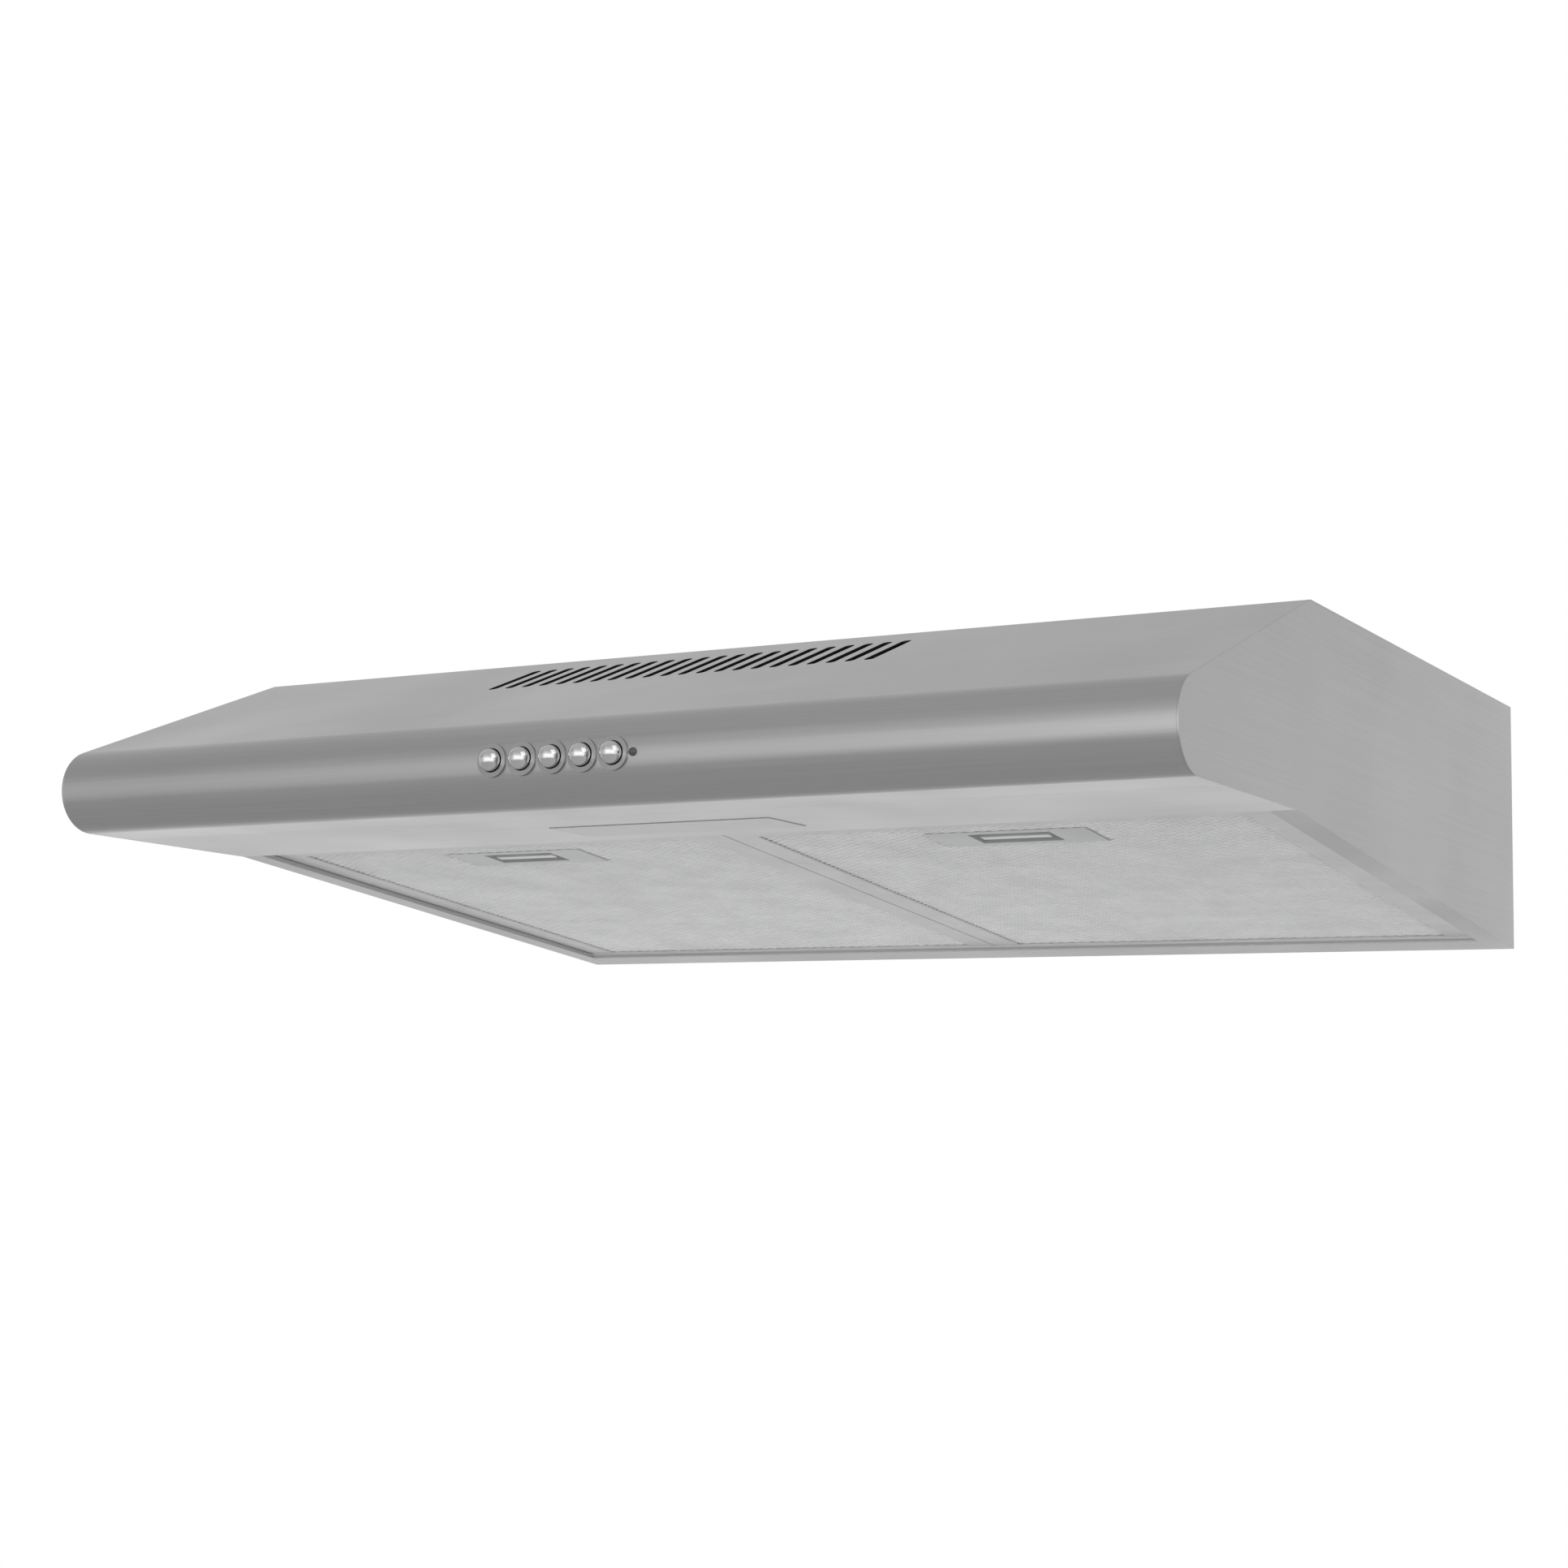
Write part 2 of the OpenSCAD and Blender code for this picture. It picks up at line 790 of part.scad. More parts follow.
module impeller() {
    cup_floor = can_top - can_h - 8.5;
    disc_t = 2;
    color("slategray") at_wheel(0) {
        rotate_extrude() {
            translate([cup_r, wheel_top - disc_t]) square([wheel_r - cup_r, disc_t]);
            translate([cup_r, cup_floor]) square([disc_t, wheel_top - cup_floor]);
            translate([shaft_r, cup_floor]) square([cup_r - shaft_r + eps, disc_t]);
            translate([shaft_r, cup_floor - 5]) square([6, 5 + eps]);
            translate([wheel_inner + 4, wheel_bottom])
                square([wheel_r - wheel_inner - 4, disc_t]);
        }
        translate([0, 0, wheel_bottom]) linear_extrude(wheel_h - disc_t / 2)
            for (i = [0 : blade_count - 1]) rotate(i * 360 / blade_count) wheel_blade();
    }
}

module motor_can() {
    wall = 2;
    color("silver") at_wheel(can_top - can_h) difference() {
        union() {
            cylinder(h = can_h, r = can_r);
            translate([0, 0, -bearing_h / 2]) cylinder(h = bearing_h, r = bearing_r + 2);
        }
        difference() {
            translate([0, 0, wall]) cylinder(h = can_h, r = can_r - wall);
            cylinder(h = bearing_h / 2, r = bearing_r + 2);
        }
        translate([0, 0, -bearing_h]) cylinder(h = 2 * bearing_h, r = bearing_r);
    }
}

module motor_stator() {
    slots = 12;
    core_h = 20;
    color("peru") at_wheel(can_top - can_h + 8) linear_extrude(core_h) difference() {
        circle(can_r - 2);
        circle(21);
        for (i = [0 : slots - 1]) rotate(i * 360 / slots) translate([26, 0]) circle(2.5, $fn = 24);
    }
}

module motor_rotor() {
    core_h = 20;
    shaft_end = can_top - can_h - 13.5;
    color("lightgray") {
        at_wheel(shaft_end) cylinder(h = can_top + 1 - shaft_end, r = shaft_r);
        at_wheel(can_top - can_h + 8) cylinder(h = core_h, r = 20.4);
    }
}

module motor_bearings() {
    color("gold") for (z = [can_top - can_h - bearing_h / 2, can_top + 1.5 - bearing_h])
        at_wheel(z) difference() {
            cylinder(h = bearing_h, r = bearing_r);
            translate([0, 0, -1]) cylinder(h = bearing_h + 2, r = shaft_r + run_fit);
        }
}

module motor_bracket() {
    plate_t = 1.5;
    color("gray") at_wheel(can_top) difference() {
        union() {
            cylinder(h = plate_t, r = can_r);
            for (a = [90 : 120 : 330]) rotate(a) {
                translate([can_r - 4, -7, 0]) cube([grommet_ring - can_r + 4, 14, plate_t]);
                translate([grommet_ring, 0, 0]) cylinder(h = plate_t, r = 8);
            }
            translate([0, 0, plate_t - bearing_h]) cylinder(h = bearing_h, r = bearing_r + 2);
        }
        translate([0, 0, -bearing_h]) cylinder(h = 2 * bearing_h, r = bearing_r);
        for (a = [90 : 120 : 330]) rotate(a) translate([grommet_ring, 0, -1])
            cylinder(h = 4, r = 4);
    }
}

module motor_grommets() {
    color("black") for (a = [90 : 120 : 330]) {
        at_wheel(can_top) rotate(a) translate([grommet_ring, 0, 0]) {
            translate([0, 0, 1.5]) cylinder(h = grommet_h, r = grommet_r);
            cylinder(h = 2, r = 4);
            translate([0, 0, -1.5]) cylinder(h = 1.5, r = grommet_r);
        }
    }
}

module capacitor() {
    color("ghostwhite") translate([cap_x, cap_y, -sheet - cap_h]) cylinder(h = cap_h, r = cap_r);
}

// ---- Duct ----

module outlet_plenum() {
    size = 2 * plenum_half;
    height = plenum_top - plenum_bottom;
    inside = size - 2 * case_wall;
    front = collar_y - plenum_half;
    ear_x = (diverter_w + ear_w) / 2 + 0.5;
    color("dimgray") difference() {
        union() {
            translate([collar_x, collar_y, 0]) centred_box([size, size, height], plenum_bottom);
            for (s = [-1, 1]) translate([
                collar_x + s * ear_x - ear_w / 2,
                diverter_hinge_y - 4,
                diverter_hinge_z - 4
            ]) cube([ear_w, front - diverter_hinge_y + 4 + eps, 8]);
        }
        translate([collar_x, collar_y, 0])
            centred_box([inside, inside, height - 2 * case_wall], plenum_bottom + case_wall);
        translate([collar_x, collar_y, plenum_top - 3])
            cylinder(h = 4, r = collar_r - collar_wall);
        translate([
            collar_x - plenum_half - 1,
            blower_y + outlet_y1 - outlet_w,
            plenum_bottom + case_wall
        ]) cube([4, outlet_w, case_h - 2 * case_wall]);
        translate([collar_x - vent_box_w / 2, front - 1, plenum_bottom + 6])
            cube([vent_box_w, 4, diverter_hinge_z - plenum_bottom - 10]);
        translate([collar_x - diverter_w, diverter_hinge_y, diverter_hinge_z])
            rotate([0, 90, 0]) cylinder(h = 2 * diverter_w, r = diverter_pin_r + run_fit);
        collar_screws(hole = true);
    }
}

module diverter_flap() {
    pin_end = diverter_w / 2 + ear_w + 12;
    flap_bottom = plenum_bottom + 3;
    color("darkgray") {
        translate([
            collar_x - diverter_w / 2,
            collar_y - plenum_half - gap - diverter_t,
            flap_bottom
        ]) cube([diverter_w, diverter_t, diverter_hinge_z - flap_bottom]);
        translate([collar_x - diverter_w / 2 - ear_w - 1, diverter_hinge_y, diverter_hinge_z])
            rotate([0, 90, 0]) cylinder(h = diverter_w / 2 + ear_w + 1 + pin_end, r = diverter_pin_r);
    }
}

module diverter_lever() {
    lever_x = collar_x + diverter_w / 2 + ear_w + 6;
    color("red") difference() {
        union() {
            translate([lever_x, diverter_hinge_y, diverter_hinge_z])
                rotate([0, 90, 0]) cylinder(h = 5, r = 6);
            translate([lever_x, diverter_hinge_y - 2.5, diverter_hinge_z - 34])
                cube([5, 5, 34]);
        }
        translate([lever_x - 1, diverter_hinge_y, diverter_hinge_z])
            rotate([0, 90, 0]) cylinder(h = 7, r = diverter_pin_r);
    }
}

module duct_collar() {
    ledge = 3.5;
    color("dimgray") difference() {
        translate([collar_x, collar_y, 0]) rotate_extrude() {
            translate([collar_r - collar_wall, plenum_top])
                square([collar_wall, collar_h - plenum_top]);
            translate([collar_r - collar_wall, plenum_top])
                square([collar_wall + collar_flange, collar_flange_t]);
            translate([collar_r - collar_wall - ledge, damper_z - gap - 1.5])
                square([ledge + eps, 1.5]);
        }
        damper_rods();
        collar_screws(hole = true);
    }
}

module damper_rods() {
    for (s = [-1, 1]) translate([
        collar_x - collar_r + 0.5,
        collar_y + s * damper_off,
        damper_z + damper_t / 2
    ]) rotate([0, 90, 0]) cylinder(h = 2 * collar_r - 1, r = damper_pin_r);
}

module damper_pins() {
    color("silver") damper_rods();
}

// A half disc on a long knuckle, cut back beside the knuckle so that its ends clear the ledge.
// Side -1 is the front half, 1 the rear half.
module damper_flap(side) {
    flap_r = collar_r - collar_wall - 1.2;
    knuckle_r = damper_pin_r + 1.1;
    knuckle_w = 1.7 * flap_r;
    split = 0.5;
    color("darkgray") translate([collar_x, collar_y, damper_z + damper_t / 2]) difference() {
        union() {
            rotate(side > 0 ? 0 : 180) translate([0, 0, -damper_t / 2]) linear_extrude(damper_t)
                intersection() {
                    circle(flap_r);
                    union() {
                        translate([-flap_r, damper_off]) square([2 * flap_r, flap_r]);
                        translate([-knuckle_w / 2, split]) square([knuckle_w, damper_off]);
                    }
                }
            translate([-knuckle_w / 2, side * damper_off, 0]) rotate([0, 90, 0])
                cylinder(h = knuckle_w, r = knuckle_r);
        }
        translate([-flap_r - 1, side * damper_off, 0]) rotate([0, 90, 0])
            cylinder(h = 2 * flap_r + 2, r = damper_pin_r + run_fit);
    }
}

// ---- Electrical ----

box_bosses = [[-box_w / 2 + 5, box_d / 2 - 5], [box_w / 2 - 5, -box_d / 2 + 5]];

module junction_box() {
    color("dimgray") translate([box_x, box_y, -sheet - box_h]) difference() {
        union() {
            difference() {
                centred_box([box_w, box_d, box_h], 0);
                centred_box([box_w - 2 * box_wall, box_d - 2 * box_wall, box_h], -box_wall);
            }
            for (p = box_bosses) translate([p[0], p[1], 0]) cylinder(h = box_h, r = 4);
        }
        translate([0, 0, box_h - 4]) cylinder(h = 6, r = entry_r + 3);
        translate([25, -box_d / 2 - 1, box_h - 9]) rotate([-90, 0, 0]) cylinder(h = 5, r = 2.6);
        for (p = box_bosses) translate([p[0], p[1], -1]) cylinder(h = 12, r = screw_r);
    }
}

module junction_box_cover() {
    color("dimgray") translate([box_x, box_y, -sheet - box_h - box_wall]) difference() {
        centred_box([box_w, box_d, box_wall], 0);
        for (p = box_bosses) translate([p[0], p[1], -1]) cylinder(h = 5, r = screw_r);
    }
}

module terminal_block() {
    ways = 3;
    way = 8;
    color("ivory") translate([box_x + 25, box_y, -sheet - box_wall]) difference() {
        centred_box([ways * way, 22, 13], -13);
        for (i = [0 : ways - 1], s = [-1, 1])
            translate([(i - 1) * way, s * 6, -14]) cylinder(h = 9, r = 2.2, $fn = 24);
    }
}

module cable_bushing() {
    color("black") translate([box_x, box_y, 0]) difference() {
        union() {
            translate([0, 0, -sheet - box_wall]) cylinder(h = sheet + box_wall, r = entry_r + 3);
            translate([0, 0, -sheet - box_wall - 2]) cylinder(h = 2, r = entry_r + 6);
        }
        translate([0, 0, -10]) cylinder(h = 12, r = entry_r);
    }
}

// A round lead along a list of points, with slightly fuller ball corners
module lead(points, r) {
    for (i = [0 : len(points) - 2]) {
        run = points[i + 1] - points[i];
        translate(points[i])
            rotate([0, acos(run[2] / norm(run)), atan2(run[1], run[0])])
                cylinder(h = norm(run), r = r, $fn = 24);
    }
    for (i = [1 : len(points) - 2]) translate(points[i]) sphere(r + 0.2, $fn = 24);
}

module wiring_loom() {
    trunk_x = box_x + 25;
    trunk_z = -sheet - 9;
    trunk_r = 2.5;
    thin_r = 1.5;
    over_z = -sheet - 2.5;
    cross_y = blower_y - 30;
    switch_y = bracket_y + 1 + switch_d / 2;
    under_slope = [100, slope_y - 80, -60];
    color("black") {
        lead([
            [trunk_x, box_y - 11, trunk_z],
            [trunk_x, slope_y + 30, trunk_z],
            under_slope,
            [switch_w / 2 + 16, switch_y, nose_z],
            [switch_w / 2, switch_y, nose_z]
        ], trunk_r);
        lead([
            [blower_x, blower_y + 24, can_top + 1.5],
            [blower_x, blower_y + 24, over_z],
            [blower_x, cross_y, over_z],
            [trunk_x - 12, cross_y, over_z],
            [trunk_x, cross_y, trunk_z]
        ], thin_r);
        lead([[cap_x, cap_y - cap_r, over_z], [cap_x, cross_y, over_z]], thin_r);
        lead([
            [lens_x - tray_w / 2 - 4, lens_y, bulb_z],
            [lens_x - tray_w / 2 - 24, lens_y, bulb_z],
            [lens_x - tray_w / 2 - 24, switch_y + 10, nose_z],
            [-switch_w / 2 - 12, switch_y, nose_z],
            [-switch_w / 2, switch_y, nose_z]
        ], thin_r);
    }
}

// ---- Screws, all alike, drawn along +z from the underside of the head ----

module screw(length, hole) {
    if (hole) {
        translate([0, 0, -1]) cylinder(h = length + 2, r = screw_r, $fn = 24);
    } else {
        cylinder(h = length, r = screw_r, $fn = 24);
        translate([0, 0, -screw_head_h]) cylinder(h = screw_head_h, r = screw_head_r, $fn = 24);
    }
}

module front_screws(hole) {
    for (k = [-3, -1, 1, 3]) {
        translate([k * opening_w / 7, top_lap_y - lap / 2, -2 * sheet]) screw(2 * sheet, hole);
    }
}

module side_screws(hole) {
    for (s = [-1, 1], y = [top_lap_y + 20, 0, back_y - 24]) {
        translate([s * (inner_w - side_flange + sheet) / 2, y, -2 * sheet])
            screw(2 * sheet, hole);
    }
}

module case_screws(hole) {
    for (p = case_lugs) {
        translate([blower_x + p[0], blower_y + p[1], case_top - lug_h])
            screw(lug_h - case_top, hole);
    }
}

module collar_screws(hole) {
    for (a = [45 : 90 : 315]) {
        translate([collar_x, collar_y, plenum_top - case_wall]) rotate(a)
            translate([collar_r + collar_flange / 2, 0, 0]) screw(case_wall - plenum_top, hole);
    }
}

module cover_screws(hole) {
    x = (window_w + window_lap) / 2;
    z = window_h / 2 - 10;
    for (sx = [-1, 1], sz = [-1, 1]) {
        towards_wall(sx * x, back_y - 2 * sheet, -hood_h / 2 + sz * z) screw(2 * sheet, hole);
    }
}

module box_screws(hole) {
    for (p = box_bosses) {
        translate([box_x + p[0], box_y + p[1], -sheet - box_h - box_wall])
            screw(box_wall + 10, hole);
    }
}

module fixing_screws() {
    color("gray") {
        front_screws(hole = false);
        side_screws(hole = false);
        case_screws(hole = false);
        collar_screws(hole = false);
        cover_screws(hole = false);
        box_screws(hole = false);
    }
}

front_fascia();
lamp_panel();
side_panel(-1);  // side_panel_left
side_panel(1);  // side_panel_right
top_panel();
back_panel();
rear_rail();
rear_duct_cover();
button_bezels();
for (i = [0 : button_count - 1]) {
    push_button(i);
    button_spring(i);
}
switch_body();
switch_bracket();
indicator_lens();
light_lens();
lamp_reflector();
lamp_holder();
lamp_bulb();
lamp_cap();
filter_frame(-1);  // filter_frame_left
filter_frame(1);  // filter_frame_right
filter_mesh(-1);  // filter_mesh_left
filter_mesh(1);  // filter_mesh_right
latch_plate(-1);  // latch_plate_left
latch_plate(1);  // latch_plate_right
latch_slider(-1);  // latch_slider_left
latch_slider(1);  // latch_slider_right
latch_spring(-1);  // latch_spring_left
latch_spring(1);  // latch_spring_right
blower_housing();
inlet_ring();
impeller();
motor_can();
motor_stator();
motor_rotor();
motor_bracket();
motor_grommets();
motor_bearings();
capacitor();
outlet_plenum();
duct_collar();
damper_flap(-1);  // damper_flap_front
damper_flap(1);  // damper_flap_rear
damper_pins();
diverter_flap();
diverter_lever();
junction_box();
junction_box_cover();
terminal_block();
cable_bushing();
wiring_loom();
fixing_screws();
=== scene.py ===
"""Looks for an under cabinet range hood: materials, filter mesh, light and camera."""

import json
import math

import bpy
from mathutils import Matrix, Vector

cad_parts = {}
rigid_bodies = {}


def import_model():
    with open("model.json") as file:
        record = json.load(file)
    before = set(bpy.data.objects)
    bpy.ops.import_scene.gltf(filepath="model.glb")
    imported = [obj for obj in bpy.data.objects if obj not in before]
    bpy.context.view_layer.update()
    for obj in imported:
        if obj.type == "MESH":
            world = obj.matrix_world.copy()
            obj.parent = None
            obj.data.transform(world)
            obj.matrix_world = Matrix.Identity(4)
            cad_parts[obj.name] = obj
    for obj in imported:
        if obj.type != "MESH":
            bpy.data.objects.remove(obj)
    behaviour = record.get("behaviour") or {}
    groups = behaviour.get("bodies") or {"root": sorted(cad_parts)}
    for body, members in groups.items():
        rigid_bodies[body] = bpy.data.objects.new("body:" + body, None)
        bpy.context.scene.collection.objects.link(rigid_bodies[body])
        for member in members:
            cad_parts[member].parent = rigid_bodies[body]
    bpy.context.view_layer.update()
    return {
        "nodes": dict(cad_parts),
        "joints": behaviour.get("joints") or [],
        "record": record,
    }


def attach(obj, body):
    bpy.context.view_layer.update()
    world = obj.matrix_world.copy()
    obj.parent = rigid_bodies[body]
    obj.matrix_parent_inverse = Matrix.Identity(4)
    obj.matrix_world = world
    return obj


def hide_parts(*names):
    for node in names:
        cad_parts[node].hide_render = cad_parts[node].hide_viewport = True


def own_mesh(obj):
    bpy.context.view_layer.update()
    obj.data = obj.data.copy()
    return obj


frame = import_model()
NODES = frame["nodes"]
JOINTS = {j["name"]: j for j in frame["joints"]}
SLOTS = {entry["node"]: entry["material_slot"] for entry in frame["record"]["subparts"]}
SIDES = ("left", "right")
MM = 0.001


# ---- Shader building ----


class Shader:
    """A principled material whose fine detail is worked out from object coordinates."""

    def __init__(self, name, color, metallic=0.0, roughness=0.5, **sockets):
        self.mat = bpy.data.materials.new(name)
        self.mat.use_nodes = True
        self.tree = self.mat.node_tree
        self.bsdf = self.tree.nodes["Principled BSDF"]
        self.set("Base Color", (*color, 1.0))
        self.set("Metallic", metallic)
        self.set("Roughness", roughness)
        for socket, value in sockets.items():
            self.set(socket.replace("_", " "), value)
        self.coords = self.add("ShaderNodeTexCoord").outputs["Object"]

    def set(self, socket, value):
        self.bsdf.inputs[socket].default_value = value

    def add(self, kind, **values):
        node = self.tree.nodes.new(kind)
        for key, value in values.items():
            setattr(node, key, value)
        return node

    def link(self, a, b):
        self.tree.links.new(a, b)

    def scaled(self, scale):
        node = self.add("ShaderNodeMapping")
        node.inputs["Scale"].default_value = scale
        self.link(self.coords, node.inputs["Vector"])
        return node.outputs["Vector"]

    def noise(self, scale, detail=3.0, roughness=0.6):
        """Noise with one scale, or with a scale for each axis."""
        if not isinstance(scale, tuple):
            scale = (scale, scale, scale)
        node = self.add("ShaderNodeTexNoise")
        node.inputs["Scale"].default_value = 1.0
        node.inputs["Detail"].default_value = detail
        node.inputs["Roughness"].default_value = roughness
        self.link(self.scaled(scale), node.inputs["Vector"])
        return node.outputs["Fac"]

    def spread(self, value, low, high):
        """Maps a noise value, mostly 0.3 to 0.7, to the range low to high."""
        node = self.add("ShaderNodeMapRange")
        node.inputs["From Min"].default_value = 0.3
        node.inputs["From Max"].default_value = 0.7
        node.inputs["To Min"].default_value = low
        node.inputs["To Max"].default_value = high
        self.link(value, node.inputs["Value"])
        return node.outputs["Result"]

    def tint(self, value, dark, light):
        """Colours the surface between two shades by a noise value."""
        node = self.add("ShaderNodeMix", data_type="RGBA")
        node.inputs["A"].default_value = (*dark, 1.0)
        node.inputs["B"].default_value = (*light, 1.0)
        self.link(self.spread(value, 0.0, 1.0), node.inputs["Factor"])
        self.link(node.outputs["Result"], self.bsdf.inputs["Base Color"])

    def rough(self, value, low, high):
        self.link(self.spread(value, low, high), self.bsdf.inputs["Roughness"])

    def bump(self, value, height, strength=1.0):
        node = self.add("ShaderNodeBump")
        node.inputs["Strength"].default_value = strength
        node.inputs["Distance"].default_value = height
        self.link(value, node.inputs["Height"])
        self.link(node.outputs["Normal"], self.bsdf.inputs["Normal"])


def shade(color, k):
    return tuple(c * k for c in color)


def grey(value):
    return (value, value, value)


# ---- Materials ----


BRUSHED_ACROSS = (6.0, 700.0, 700.0)
BRUSHED_TO_THE_WALL = (700.0, 6.0, 700.0)


def brushed_steel(name, color, grain=BRUSHED_ACROSS, roughness=0.34, depth=0.004 * MM):
    """Stainless sheet with fine parallel brush lines; grain is small along the brushing."""
    s = Shader(name, color, metallic=1.0, roughness=roughness)
    lines = s.noise(grain, detail=4.0)
    clouds = s.noise(9.0, detail=2.0)
    s.tint(lines, shade(color, 0.96), shade(color, 1.03))
    s.rough(clouds, roughness - 0.03, roughness + 0.04)
    s.bump(lines, depth)
    return s.mat


def galvanised(name, color):
    """Zinc coated sheet with faint spangles."""
    s = Shader(name, color, metallic=1.0, roughness=0.42)
    spangle = s.add("ShaderNodeTexVoronoi")
    spangle.inputs["Scale"].default_value = 240.0
    s.link(s.coords, spangle.inputs["Vector"])
    s.tint(spangle.outputs["Color"], shade(color, 0.94), shade(color, 1.03))
    s.rough(s.noise(40.0), 0.36, 0.5)
    return s.mat


def polished(name, color, roughness=0.06):
    """Chrome with slightly uneven gloss."""
    s = Shader(name, color, metallic=1.0, roughness=roughness)
    s.rough(s.noise(300.0), roughness * 0.7, roughness * 1.5)
    s.tint(s.noise(60.0), shade(color, 0.97), shade(color, 1.0))
    return s.mat


def satin_metal(name, color, roughness=0.35, metallic=1.0):
    """Bare or lacquered metal with a fine even grain."""
    s = Shader(name, color, metallic=metallic, roughness=roughness)
    grain = s.noise(700.0)
    s.tint(s.noise(35.0), shade(color, 0.93), shade(color, 1.03))
    s.rough(grain, roughness - 0.05, roughness + 0.06)
    s.bump(grain, 0.01 * MM)
    return s.mat


def moulded(name, color, roughness=0.5, pits=0.02 * MM):
    """Moulded plastic with a fine spark-eroded grain."""
    s = Shader(name, color, roughness=roughness)
    grain = s.noise(1400.0, detail=2.0)
    s.tint(s.noise(30.0), shade(color, 0.92), shade(color, 1.05))
    s.rough(grain, roughness - 0.06, roughness + 0.06)
    s.bump(grain, pits)
    return s.mat


def enamel(name, color):
    """Glossy baked enamel with a slight orange peel."""
    s = Shader(name, color, roughness=0.22)
    s.set("Coat Weight", 0.3)
    s.tint(s.noise(20.0), shade(color, 0.97), color)
    s.bump(s.noise(160.0), 0.02 * MM)
    return s.mat


def frosted(name, color):
    """Milky lens plastic with fine ribs along its width."""
    s = Shader(name, color, roughness=0.42)
    s.set("Transmission Weight", 0.15)
    s.set("Subsurface Weight", 0.2)
    s.set("Subsurface Radius", (0.004, 0.004, 0.004))
    s.set("Subsurface Scale", 1.0)
    s.tint(s.noise(60.0), shade(color, 0.95), color)
    ribs = s.add("ShaderNodeTexWave", bands_direction="Y")
    ribs.inputs["Scale"].default_value = 80.0
    s.link(s.coords, ribs.inputs["Vector"])
    s.bump(ribs.outputs["Fac"], 0.06 * MM)
    return s.mat


def clear_glass(name, color):
    s = Shader(name, color, roughness=0.04)
    s.set("Transmission Weight", 1.0)
    s.set("IOR", 1.5)
    s.rough(s.noise(90.0), 0.02, 0.08)
    return s.mat


def punched_edge_and_shade(name, color):
    """The raw edge of the sheet inside each vent slot, made near black: partly the rougher raw edge,
    partly painted shade inside the slots.
    """
    s = Shader(name, color, metallic=1.0, roughness=0.6)
    s.bump(s.noise((900.0, 900.0, 200.0)), 0.05 * MM)
    return s.mat


def foil_layers_painted_shade(name, color):
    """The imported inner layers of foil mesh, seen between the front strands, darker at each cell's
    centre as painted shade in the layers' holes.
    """
    s = Shader(name, color, metallic=0.5, roughness=0.55)
    shaded_hole_cells = s.add("ShaderNodeTexVoronoi")
    shaded_hole_cells.inputs["Scale"].default_value = 420.0
    s.link(s.coords, shaded_hole_cells.inputs["Vector"])
    # Painted shade: darker at each cell's centre, in place of the shade inside the holes of the
    # layers behind.
    s.tint(shaded_hole_cells.outputs["Distance"], shade(color, 0.8), shade(color, 1.05))
    s.bump(shaded_hole_cells.outputs["Distance"], 0.3 * MM, strength=0.6)
    return s.mat


STEEL = (0.60, 0.60, 0.605)

# For each material slot of the record, the kind of material, its colour and what else it takes
FINISHES = {
    "brushed_shell": (brushed_steel, STEEL, {}),
    # A lighter, rougher copy of the shell's steel: the extra brightness is painted light on the
    # underside.
    "brushed_underside": (brushed_steel, (0.74, 0.74, 0.745), {"roughness": 0.4}),
    "galvanised_sheet": (galvanised, (0.62, 0.63, 0.64), {}),
    "bezel_steel": (satin_metal, (0.44, 0.44, 0.445), {"roughness": 0.26}),
    "chrome_trim": (polished, (0.86, 0.86, 0.87), {}),
    "spring_steel": (satin_metal, (0.42, 0.42, 0.43), {}),
    "black_plastic": (moulded, (0.035, 0.035, 0.038), {}),
    "grey_plastic": (moulded, (0.10, 0.105, 0.11), {}),
    "wheel_plastic": (moulded, (0.20, 0.21, 0.225), {}),
    "lever_plastic": (moulded, (0.42, 0.045, 0.035), {"roughness": 0.4}),
    # Lighter than the latch plastic: painted light that keeps the slider bright inside its shaded
    # pocket.
    "slider_plastic": (moulded, (0.66, 0.665, 0.67), {"roughness": 0.4}),
    "latch_plastic": (moulded, (0.50, 0.505, 0.51), {"roughness": 0.45}),
    "cream_plastic": (moulded, (0.78, 0.74, 0.63), {"roughness": 0.3}),
    "indicator_plastic": (moulded, (0.10, 0.10, 0.105), {"roughness": 0.15}),
    "frosted_lens": (frosted, (0.62, 0.62, 0.63), {}),
    "white_enamel": (enamel, (0.82, 0.82, 0.81), {}),
    "bulb_glass": (clear_glass, (0.97, 0.97, 0.96), {}),
    "bright_metal": (satin_metal, (0.70, 0.70, 0.71), {"roughness": 0.28}),
    "filter_aluminium": (satin_metal, (0.85, 0.85, 0.855), {"roughness": 0.45, "metallic": 0.85}),
    "mesh_aluminium": (satin_metal, (0.92, 0.92, 0.925), {"roughness": 0.5, "metallic": 0.4}),
    "motor_core": (satin_metal, (0.25, 0.25, 0.26), {"roughness": 0.45}),
    "bearing_brass": (satin_metal, (0.65, 0.47, 0.22), {"roughness": 0.3}),
    "rubber": (moulded, (0.022, 0.022, 0.023), {"roughness": 0.72, "pits": 0.04 * MM}),
    "cable_jacket": (moulded, (0.03, 0.03, 0.032), {"roughness": 0.45}),
}
MATERIALS = {slot: make(slot, color, **more) for slot, (make, color, more) in FINISHES.items()}
SIDE_STEEL = brushed_steel("brushed_side", STEEL, BRUSHED_TO_THE_WALL, depth=0.0006 * MM)
# Near black: the raw edge's own darkness plus painted shade inside the vent slots.
SHEARED_EDGE_AND_SHADE = punched_edge_and_shade("sheared_edge_and_shade", (0.05, 0.05, 0.052))
BACK_LAYERS_PAINTED_SHADE = foil_layers_painted_shade("mesh_back_layers_painted_shade", (0.90, 0.90, 0.905))

